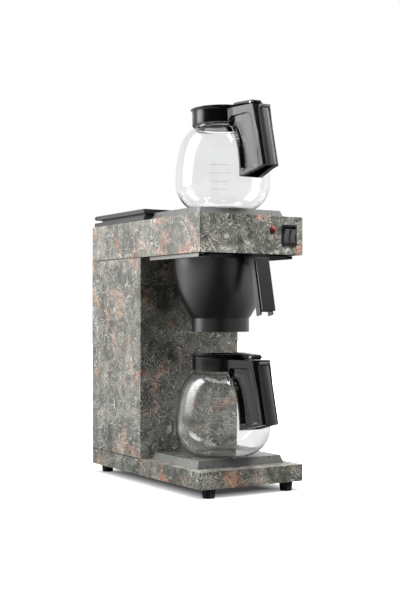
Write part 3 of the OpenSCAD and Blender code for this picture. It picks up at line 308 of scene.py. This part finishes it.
def soften(bm, width, segments, test=None):
    """Rounds the sharp edges of a bmesh, or those that pass a test on their two ends in millimetres."""
    edges = []
    for edge in bm.edges:
        if len(edge.link_faces) == 2 and edge.calc_face_angle() > ROUND_ABOVE:
            if test is None or test(*(v.co / MM for v in edge.verts)):
                edges.append(edge)
    bevel(bm, edges, width, segments)


def rounded(node, width, segments, special=(), look=None):
    """Piece that copies a CAD node and rounds its edges.

    special has (test, width, segments) for edges of their own, and look a material in place of the slot's.
    """
    bm = welded(node)
    for test, wide, steps in special:
        soften(bm, wide, steps, test)
    if width:
        soften(bm, width, segments)
    obj = linked(node + "_piece", bm)
    if look:
        obj.data.materials.append(look)
    adopt(obj, node)


def turned(name, profile, axis_y, steps):
    """Turned piece about an upright axis, from a profile of radius and height in millimetres."""
    bm = bmesh.new()
    rings = []
    for radius, height in profile:
        turns = range(steps if radius else 1)
        rings.append([bm.verts.new((radius * math.cos(math.tau * i / steps) * MM,
                                    (axis_y + radius * math.sin(math.tau * i / steps)) * MM, height * MM))
                      for i in turns])
    for a, b in zip(rings, rings[1:]):
        for i in range(steps):
            j = (i + 1) % steps
            if len(a) == 1:
                bm.faces.new((a[0], b[j], b[i]))
            elif len(b) == 1:
                bm.faces.new((a[i], a[j], b[0]))
            else:
                bm.faces.new((a[i], a[j], b[j], b[i]))
    return linked(name, bm)


def bezier(a, b, c, d, steps):
    """Points along a cubic curve."""
    points = []
    for i in range(steps + 1):
        t = i / steps
        weights = ((1 - t) ** 3, 3 * t * (1 - t) ** 2, 3 * t * t * (1 - t), t ** 3)
        points.append(tuple(sum(w * p[k] for w, p in zip(weights, (a, b, c, d))) for k in (0, 1)))
    return points


# Housing: radii of its bends and tolerances for finding edges, in millimetres
BEND, REAR_BEND, TOP_BEND, HEAD_LOW_BEND = 1.6, 0.5, 0.9, 0.8
BEND_STEPS, LEVEL_STEPS = 4, 3
ALIGNED, TOUCHING, NEAR_SIDE = 0.01, 0.05, 1.6
PLATE_CORNER, PLATE_CORNER_RISE, PLATE_CORNER_REACH = 2.5, 5, 6
# Painted shadow lines at the sheet joints: thickness, height and inset from the column's front and rear
SHADOW_LINE_THICK, SHADOW_LINE_TALL, SHADOW_LINE_INSET = 0.12, 1.7, 2


def span(node):
    """Lowest and highest corner of a CAD node, in millimetres."""
    low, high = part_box(node)
    return low / MM, high / MM


def from_sides(p, k, low, high):
    """Distance of a point from the nearer of a box's two sides along one axis."""
    return min(abs(p[k] - low[k]), abs(p[k] - high[k]))


def upright_at(low, high):
    """Test for upright edges on the outer corners of a box."""
    def test(p, q):
        return all(abs(p[k] - q[k]) < ALIGNED and from_sides(p, k, low, high) < TOUCHING for k in (0, 1))
    return test


def level_at(z, low, high):
    """Test for edges at one height on the outside of a box."""
    def test(p, q):
        return abs(p[2] - z) < TOUCHING and abs(q[2] - z) < TOUCHING and any(
            abs(p[k] - q[k]) < ALIGNED and from_sides(p, k, low, high) < NEAR_SIDE for k in (0, 1))
    return test


def front_corner(low, high):
    """Test for edges along the two front corners of a box."""
    def test(p, q):
        return (abs(p[0] - q[0]) < ALIGNED and from_sides(p, 0, low, high) < TOUCHING
                and abs(p[1] - low[1]) < TOUCHING and abs(q[1] - low[1]) < TOUCHING)
    return test


def plate_corner(low, high):
    """Test for the slanted corners of a pressed plate."""
    def test(p, q):
        return abs(p[2] - q[2]) > PLATE_CORNER_RISE and all(
            from_sides(p, k, low, high) < PLATE_CORNER_REACH for k in (0, 1))
    return test


for node in ("base_tray", "column_wrap", "rear_cover", "head_wrap", "head_top_deck"):
    low, high = span(node)
    corners = front_corner if node == "column_wrap" else upright_at
    special = [(corners(low, high), REAR_BEND if node == "rear_cover" else BEND, BEND_STEPS)]
    if node in ("base_tray", "head_top_deck"):
        special.append((level_at(high[2], low, high), TOP_BEND, LEVEL_STEPS))
    if node == "head_wrap":
        special.append((level_at(low[2], low, high), HEAD_LOW_BEND, LEVEL_STEPS))
    rounded(node, 0, 0, special)

# Black strips along the joints between the sheets of the housing: a painted shadow line standing in for the shade
# in the gaps
column_low, column_high = span("column_wrap")
shadow_line_start, shadow_line_end = column_low.y + SHADOW_LINE_INSET, column_high.y - SHADOW_LINE_INSET
for name, height in (("head_joint_shadow_line", span("head_wrap")[0].z), ("base_joint_shadow_line", column_low.z)):
    for side, x in (("left", column_low.x), ("right", column_high.x)):
        bm = bmesh.new()
        bmesh.ops.create_cube(bm, size=MM)
        for v in bm.verts:
            v.co.x = x * MM + SHADOW_LINE_THICK * v.co.x
            v.co.y = (shadow_line_start + (shadow_line_end - shadow_line_start) * (v.co.y / MM + 0.5)) * MM
            v.co.z = height * MM + SHADOW_LINE_TALL * v.co.z
        adopt(linked(name + "_" + side, bm), "column_wrap", "underside_black", instead=False)

for node in ("lid_frame", "tank_lid"):
    rounded(node, 0.5, 2)
for node in ("left_basket_rail", "right_basket_rail", "head_floor", "base_bottom_cover"):
    rounded(node, 0.25, 2)
for node in ("lower_hotplate", "upper_hotplate"):
    rounded(node, 0.5, 2, [(plate_corner(*span(node)), PLATE_CORNER, 4)])

# Controls
# Lighter grey than the switch's black: a painted sheen that stands in for the reflection on the rockers' faces
ROCKER_PAINTED_SHEEN = grained("rocker_painted_sheen", linear(60, 61, 63), linear(78, 79, 81), 0.3, 1400, 0.05)
rounded("switch_bezel", 0.35, 3)
for node in ("left_rocker", "right_rocker"):
    rounded(node, 0.35, 3, look=ROCKER_PAINTED_SHEEN)
rounded("cord_gland", 0.6, 3)

# Filter basket
rounded("filter_basket", 0.5, 3)
rounded("filter_grid", 0.2, 2)
rounded("basket_handle", 0.8, 3)
rounded("basket_grip", 0.8, 3)

# Jugs, in millimetres about their axis and above their foot
JUG_AXIS = sum(corner.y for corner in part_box("lower_jug_glass")) / 2 / MM
JUG_FEET = {"lower": 54.8, "upper": 453.8}
GLASS, GLASS_TURNS = 2.2, 192
HEEL = (46, 0), (56, 1.5), (76, 16), (78, 40)
SHOULDER = (78, 40), (78, 62), (75.5, 126), (45, 135)
FOOT_HOLLOW = (0, 0.9), (30, 0.7), (42, 0.2)
NECK, NECK_TOP = 45, 150
HEEL_STEPS, SHOULDER_STEPS, COARSE_SHOULDER_STEPS = 40, 64, 60
SHOULDER_POINTS = bezier(*SHOULDER, COARSE_SHOULDER_STEPS)

COLLAR, COLLAR_BORE = 50.3, 46.8
COLLAR_LOW, COLLAR_TOP = 138.5, 165
COLLAR_TURNS = 144
LIP = 2.7
SPOUT, SPOUT_TURN = 0.5, 30
SEAT_BORE, NECK_BORE = 40.2, 45.3

SHELL_TOP, SHELL_LOW, SHELL_FOOT = 158, 47, 60
SHELL_REACH, SHELL_LEAN = 112, 25 / 98
SHELL_WALL, SHELL_AIR = 2.4, 3
SHELL_NECK, SHELL_TIP = 68, 121
SHELL_WIDE, SHELL_SLIM = 24, 15
SHELL_SUNK = 0.4
SHELL_ROUND, SHELL_TOP_ROUND = 1.6, 0.9
SHELL_ROWS, SHELL_COLUMNS = 80, 48
HOLLOW_INSET, HOLLOW_FROM = 6, 0.3
# Side panel: margins, corner, slope of its rim and depth
PANEL_START, PANEL_END, PANEL_TOP, PANEL_LOW, PANEL_CORNER = 4.0, 9.5, 12.5, 5.0, 7.0
PANEL_RIM, PANEL_LEAST, PANEL_BULGE, PANEL_CROWN = 1.1, 0.6, 4.6, 0.95

# Printed lines: height and half width in degrees
GRADUATIONS = (44, 9), (58, 13), (72, 13), (86, 11)
GRADUATION_TURN, GRADUATION_STEPS = 62, 16
GRADUATION_HALF_LINE, GRADUATION_PROUD = 0.25, 0.06


def jug_vertex(bm, radius, turn, height):
    """New vertex at a radius and turn about the jugs' axis."""
    return bm.verts.new((radius * math.cos(turn) * MM, (JUG_AXIS + radius * math.sin(turn)) * MM, height * MM))


def glass_profile():
    """Closed wall of the blown jug, from the middle of its foot up the outside and down the inside."""
    outside = bezier(*HEEL, HEEL_STEPS) + bezier(*SHOULDER, SHOULDER_STEPS)[1:]
    outside += [(NECK, 141), (NECK, 145), (NECK, NECK_TOP - 0.8)]
    inside = []
    for k, (r, z) in enumerate(outside):
        (r0, z0), (r1, z1) = outside[max(k - 1, 0)], outside[min(k + 1, len(outside) - 1)]
        length = math.hypot(r1 - r0, z1 - z0)
        inside.append((r - GLASS * (z1 - z0) / length, z + GLASS * (r1 - r0) / length))
    rim = [(44.4, NECK_TOP), (43.4, NECK_TOP)]
    return [*FOOT_HOLLOW, *outside, *rim, *inside[::-1], (40, GLASS + 0.3), (0, GLASS + 0.9)]


def eased(t):
    """Smooth step from 0 to 1."""
    t = min(max(t, 0.0), 1.0)
    return t * t * (3 - 2 * t)


def collar_ring(jug, foot):
    """Collar with a flared lip that stands round the lid, with a slight spout at the rear."""
    bm = bmesh.new()
    rings = []
    for i in range(COLLAR_TURNS):
        turn = math.tau * i / COLLAR_TURNS
        from_handle = abs((turn - 1.5 * math.pi + math.pi) % math.tau - math.pi)
        lip = COLLAR + LIP + SPOUT * eased(1 - math.degrees(math.pi - from_handle) / SPOUT_TURN)
        outside = [(COLLAR - 1.2, COLLAR_LOW), (COLLAR - 0.3, COLLAR_LOW + 0.3), (COLLAR, COLLAR_LOW + 1.2),
                   (COLLAR, 148), (COLLAR, 155)]
        outside += bezier((COLLAR, 157), (COLLAR, 161), (COLLAR + 1.0, 163), (lip, COLLAR_TOP - 0.9), 8)
        inside = [(lip - 0.1, COLLAR_TOP - 0.3), (lip - 0.6, COLLAR_TOP), (COLLAR_BORE + 0.9, COLLAR_TOP),
                  (COLLAR_BORE + 0.2, COLLAR_TOP - 0.3), (COLLAR_BORE, COLLAR_TOP - 1), (COLLAR_BORE, 154),
                  (SEAT_BORE, 153.8), (SEAT_BORE, 151.6), (NECK_BORE, 151.4), (NECK_BORE, COLLAR_LOW)]
        rings.append([jug_vertex(bm, r, turn, z + foot) for r, z in outside + inside])
    for a, b in zip(rings, rings[1:] + rings[:1]):
        for k in range(len(a)):
            n = (k + 1) % len(a)
            bm.faces.new((a[k], b[k], b[n], a[n]))
    return linked(jug + "_collar_ring", bm)


def shell_width(y):
    """Half width of the handle shell at a distance from the jug's axis."""
    reach = min(max(abs(y), SHELL_NECK), SHELL_TIP)
    return SHELL_WIDE - (SHELL_WIDE - SHELL_SLIM) * (reach - SHELL_NECK) / (SHELL_TIP - SHELL_NECK)


def shell_inner(z):
    """Distance of the shell's inner edge from the jug's axis: inside the collar above, along the glass below."""
    under = COLLAR_LOW - 1
    if z >= under:
        drop = min((SHELL_TOP - z) / (SHELL_TOP - COLLAR_LOW), 1)
        return COLLAR_BORE + SHELL_SUNK + (COLLAR - COLLAR_BORE) * drop
    radius = next((r for r, h in SHOULDER_POINTS if h >= z), COLLAR - SHELL_AIR)
    blend = eased((under - z) / 12)
    return (1 - blend) * (COLLAR + SHELL_SUNK) + blend * (radius + SHELL_AIR)


def shell_panel(depth_in, drop, length, height):
    """Depth of the recessed, bulging side panel at a place on the shell's side."""
    half_l, half_h = (length - PANEL_START - PANEL_END) / 2, (height - PANEL_TOP - PANEL_LOW) / 2
    dx = abs(depth_in - PANEL_START - half_l) - half_l + PANEL_CORNER
    dy = abs(drop - PANEL_TOP - half_h) - half_h + PANEL_CORNER
    outside = math.hypot(max(dx, 0), max(dy, 0)) + min(max(dx, dy), 0) - PANEL_CORNER
    crown = PANEL_CROWN * 2 * half_l
    bulge = ((depth_in - PANEL_START - crown) / crown) ** 2
    return eased(-outside / PANEL_RIM) * (PANEL_LEAST + PANEL_BULGE * min(bulge, 1.0))


def handle_shell(jug, foot):
    """Hollow handle shell, open below, with a bulging panel set into each side."""
    bm = bmesh.new()
    loops, hollow = [], []

    def ring(points):
        left = [bm.verts.new((-x * MM, (JUG_AXIS - y) * MM, (z + foot) * MM)) for x, y, z in points]
        right = [bm.verts.new((x * MM, (JUG_AXIS - y) * MM, (z + foot) * MM)) for x, y, z in points[::-1]]
        return left + right

    def skin(stack):
        for a, b in zip(stack, stack[1:]):
            for k in range(len(a)):
                n = (k + 1) % len(a)
                bm.faces.new((a[k], a[n], b[n], b[k]))

    for k in range(SHELL_ROWS + 1):
        share = k / SHELL_ROWS
        inner_z = SHELL_TOP + (SHELL_LOW - SHELL_TOP) * share
        outer_z = SHELL_TOP + (SHELL_FOOT - SHELL_TOP) * share
        inner_y = shell_inner(inner_z)
        length = SHELL_REACH + SHELL_LEAN * (SHELL_TOP - outer_z) - inner_y
        side, inside = [], []
        for j in range(SHELL_COLUMNS + 1):
            # Columns lie closer together towards both ends
            u = 0.45 * (0.5 - 0.5 * math.cos(math.pi * j / SHELL_COLUMNS)) + 0.55 * j / SHELL_COLUMNS
            y, z = inner_y + length * u, inner_z + (outer_z - inner_z) * u
            from_end = min(min(u, 1 - u) * length, SHELL_ROUND)
            turn = SHELL_ROUND - math.sqrt(max(SHELL_ROUND ** 2 - (SHELL_ROUND - from_end) ** 2, 0))
            panel = shell_panel(u * length, SHELL_TOP - outer_z, length, SHELL_TOP - SHELL_FOOT)
            side.append((shell_width(y) - turn - panel, y, z))
            q = min(max(u * length, SHELL_WALL), length - SHELL_WALL) / length
            y, z = inner_y + length * q, inner_z + (outer_z - inner_z) * q
            inside.append((shell_width(y) - HOLLOW_INSET - SHELL_WALL, y, z))
        loops.append(ring(side))
        if share > HOLLOW_FROM:
            hollow.append(ring(inside))
    skin(loops)
    skin(hollow[::-1])
    bm.faces.new(loops[0])
    bm.faces.new(hollow[0])
    skin([loops[-1], hollow[-1]])
    bmesh.ops.remove_doubles(bm, verts=bm.verts, dist=1e-6)
    top = (SHELL_TOP + foot) * MM
    rim = [e for e in bm.edges if all(abs(v.co.z - top) < 1e-7 for v in e.verts) and len(e.link_faces) == 2
           and e.calc_face_angle() > 0.6]
    bevel(bm, rim, SHELL_TOP_ROUND, 3)
    return linked(jug + "_handle_shell", bm)


def graduations(jug, foot):
    """Short printed lines on the outside of the glass."""
    outline = bezier(*HEEL, HEEL_STEPS) + SHOULDER_POINTS[1:]
    bm = bmesh.new()
    for height, wide in GRADUATIONS:
        turns = [math.radians(GRADUATION_TURN - wide + 2 * wide * i / GRADUATION_STEPS)
                 for i in range(GRADUATION_STEPS + 1)]
        rows = []
        for z in (height - GRADUATION_HALF_LINE, height + GRADUATION_HALF_LINE):
            radius = next(r for r, h in outline if h >= z) + GRADUATION_PROUD
            rows.append([jug_vertex(bm, radius, turn, foot + z) for turn in turns])
        for i in range(GRADUATION_STEPS):
            bm.faces.new((rows[0][i], rows[0][i + 1], rows[1][i + 1], rows[1][i]))
    return linked(jug + "_graduations", bm)


PRINT_GREY = grained("graduation_print", linear(224, 224, 224), linear(238, 238, 238), 0.5, 900, 0.02)
for jug, foot in JUG_FEET.items():
    marks = graduations(jug, foot)
    marks.data.materials.append(PRINT_GREY)
    adopt(marks, jug + "_jug_glass", instead=False)
    wall = [(r, z + foot) for r, z in glass_profile()]
    adopt(turned(jug + "_jug_glass_piece", wall, JUG_AXIS, GLASS_TURNS), jug + "_jug_glass")
    adopt(collar_ring(jug, foot), jug + "_jug_collar")
    adopt(handle_shell(jug, foot), jug + "_jug_collar")
    rounded(jug + "_jug_lid", 0.6, 3)
    rounded(jug + "_jug_grip", 0.8, 3)

# Stage: a floor that is white to the eye, with a painted soft shadow round the base, and dark as a source of
# light
BEHIND = 0.52, 0.85
FLOOR_SIZE = 8
FLOOR_LIT, FLOOR_THROUGH_GLASS = (0.12, 0.12, 0.12, 1), (0.38, 0.38, 0.38, 1)
# Painted soft shadow: distances from the edge of the base, in metres, over which the floor's glow and its albedo
# rise
SHADOW_FROM, SHADOW_TO, PAINTED_SHADOW_ALBEDO_TO = -0.05, 0.035, 0.09
floor_mesh = bmesh.new()
bmesh.ops.create_grid(floor_mesh, x_segments=1, y_segments=1, size=FLOOR_SIZE)
floor = linked("studio_floor", floor_mesh)
pale = Shader("studio_floor")
rays = pale.node("ShaderNodeLightPath").outputs
spot = pale.node("ShaderNodeSeparateXYZ")
pale.link(pale.coords, spot.inputs[0])
base_low, base_high = span("base_tray")


def beyond(axis):
    """Distance by which a point of the floor lies outside the part's base along one axis, in metres."""
    middle = (base_low[axis] + base_high[axis]) / 2 * MM
    half = (base_high[axis] - base_low[axis]) / 2 * MM
    from_middle = pale.math("ABSOLUTE", pale.math("SUBTRACT", spot.outputs[axis], middle))
    return pale.math("SUBTRACT", from_middle, half)


def faded(start, end, low, high):
    """Value that goes smoothly from low to high between two distances from the base."""
    made = pale.node("ShaderNodeMapRange", interpolation_type="SMOOTHSTEP")
    for socket, value in (("From Min", start), ("From Max", end), ("To Min", low), ("To Max", high)):
        made.inputs[socket].default_value = value
    pale.link(outside, made.inputs["Value"])
    return made.outputs["Result"]


outside = pale.math("MAXIMUM", beyond(0), beyond(1))
# Painted soft shadow: the floor's albedo and its glow to the eye both drop towards the base
painted_shadow_albedo = faded(0, PAINTED_SHADOW_ALBEDO_TO, 0.3, 0.92)
painted_shadow_glow = pale.math("MULTIPLY", rays["Is Camera Ray"], faded(SHADOW_FROM, SHADOW_TO, 0.045, 0.95))
pale.link(painted_shadow_glow, pale.bsdf.inputs["Emission Strength"])
across = pale.node("ShaderNodeVectorMath", operation="DOT_PRODUCT")
pale.link(pale.coords, across.inputs[0])
across.inputs[1].default_value = (-BEHIND[1], BEHIND[0], 0)
sides = pale.ramp(pale.math("MULTIPLY", pale.math("ABSOLUTE", across.outputs["Value"]), 0.5),
                  (0.1, grey(0.025)), (0.6, grey(0.7)))
seen = pale.mix(rays["Is Glossy Ray"], pale.mix(rays["Is Diffuse Ray"], painted_shadow_albedo, FLOOR_LIT), sides)
pale.colour(pale.mix(rays["Is Transmission Ray"], seen, FLOOR_THROUGH_GLASS))
floor.data.materials.append(pale.set(Roughness=0.9, Emission_Color=(1, 1, 1, 1)).material)


def softbox(name, place, aim, width, height, power, edges=(0.35, 0.35), low=1.0):
    """Rectangular soft light that faces a point, fades out towards its edges and dims towards its foot."""
    data = bpy.data.lights.new(name, "AREA")
    data.shape = "RECTANGLE"
    data.size, data.size_y = width, height
    data.energy = power
    data.use_nodes = True
    nodes, links = data.node_tree.nodes, data.node_tree.links
    split = nodes.new("ShaderNodeSeparateXYZ")
    links.new(nodes.new("ShaderNodeNewGeometry").outputs["Parametric"], split.inputs[0])
    fades = []
    for axis, edge in enumerate(edges):
        centred = nodes.new("ShaderNodeMath")
        centred.operation = "PINGPONG"
        centred.inputs[1].default_value = 0.5
        links.new(split.outputs[axis], centred.inputs[0])
        fade = nodes.new("ShaderNodeMapRange")
        fade.interpolation_type = "SMOOTHSTEP"
        fade.inputs["From Max"].default_value = edge
        links.new(centred.outputs[0], fade.inputs["Value"])
        fades.append(fade.outputs["Result"])
    slope = nodes.new("ShaderNodeMapRange")
    slope.inputs["To Min"].default_value = low
    links.new(split.outputs[1], slope.inputs["Value"])
    strength = slope.outputs["Result"]
    for fade in fades:
        product = nodes.new("ShaderNodeMath")
        product.operation = "MULTIPLY"
        links.new(strength, product.inputs[0])
        links.new(fade, product.inputs[1])
        strength = product.outputs[0]
    links.new(strength, nodes["Emission"].inputs["Strength"])
    obj = bpy.data.objects.new(name, data)
    obj.location = place
    obj.rotation_euler = (Vector(aim) - Vector(place)).to_track_quat("-Z", "Y").to_euler()
    bpy.context.scene.collection.objects.link(obj)


softbox("key_left", (-1.45, 1.05, 1.2), (0, -0.03, 0.75), 1.5, 2.3, 212, (0.35, 0.08), 0.1)
softbox("key_right", (1.55, -0.8, 1.3), (0, -0.03, 0.6), 0.9, 1.9, 104, low=0.2)
softbox("front_high", (0.2, -1.1, 1.9), (0, -0.1, 0.55), 1.0, 0.6, 62, (0.2, 0.2))
SKY_STRENGTH, SKY_SPREAD = 3.2, math.radians(60)
sky = bpy.data.lights.new("sky", "SUN")
sky.energy, sky.angle = SKY_STRENGTH, SKY_SPREAD
overhead = bpy.data.objects.new("sky", sky)
bpy.context.scene.collection.objects.link(overhead)

# White studio: seen white, bright in reflections of what lies behind the part, dim as fill
FILL_STRENGTH, THROUGH_GLASS = 0.07, 0.88
world = bpy.data.worlds.new("studio")
world.use_nodes = True
bpy.context.scene.world = world
tree = world.node_tree


def background(strength):
    """White background of one strength."""
    made = tree.nodes.new("ShaderNodeBackground")
    made.inputs["Color"].default_value = (1, 1, 1, 1)
    made.inputs["Strength"].default_value = strength
    return made


def chosen(test, otherwise, shown):
    """Shader that shows one of two, by a test on the kind of ray."""
    made = tree.nodes.new("ShaderNodeMixShader")
    for out, socket in zip((test, otherwise, shown), made.inputs):
        tree.links.new(out, socket)
    return made.outputs[0]


path = tree.nodes.new("ShaderNodeLightPath")
facing = tree.nodes.new("ShaderNodeVectorMath")
facing.operation = "DOT_PRODUCT"
facing.inputs[1].default_value = (*BEHIND, 0.0)
tree.links.new(tree.nodes.new("ShaderNodeTexCoord").outputs["Generated"], facing.inputs[0])
wall = tree.nodes.new("ShaderNodeMapRange")
wall.interpolation_type = "SMOOTHSTEP"
for key, value in (("From Min", -0.1), ("From Max", 0.95), ("To Min", 0.05), ("To Max", 1.0)):
    wall.inputs[key].default_value = value
tree.links.new(facing.outputs["Value"], wall.inputs["Value"])
mirrored = background(1.0)
tree.links.new(wall.outputs["Result"], mirrored.inputs["Strength"])
fill = chosen(path.outputs["Is Glossy Ray"], background(FILL_STRENGTH).outputs[0], mirrored.outputs[0])
seen = chosen(path.outputs["Is Camera Ray"], fill, background(1.0).outputs[0])
shown = chosen(path.outputs["Is Transmission Ray"], seen, background(THROUGH_GLASS).outputs[0])
tree.links.new(shown, tree.nodes["World Output"].inputs["Surface"])

lens = bpy.data.cameras.new("camera")
lens.sensor_width = CAMERA_SENSOR
lens.lens = CAMERA_LENS
lens.shift_y = CAMERA_SHIFT_Y
camera = bpy.data.objects.new("camera", lens)
camera.location = (CAMERA_X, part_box("head_wrap")[0].y - CAMERA_AHEAD, CAMERA_Z)
camera.rotation_euler = (math.radians(90), 0, math.radians(CAMERA_YAW))
bpy.context.scene.collection.objects.link(camera)
bpy.context.scene.camera = camera
bpy.context.scene.view_settings.view_transform = "Standard"
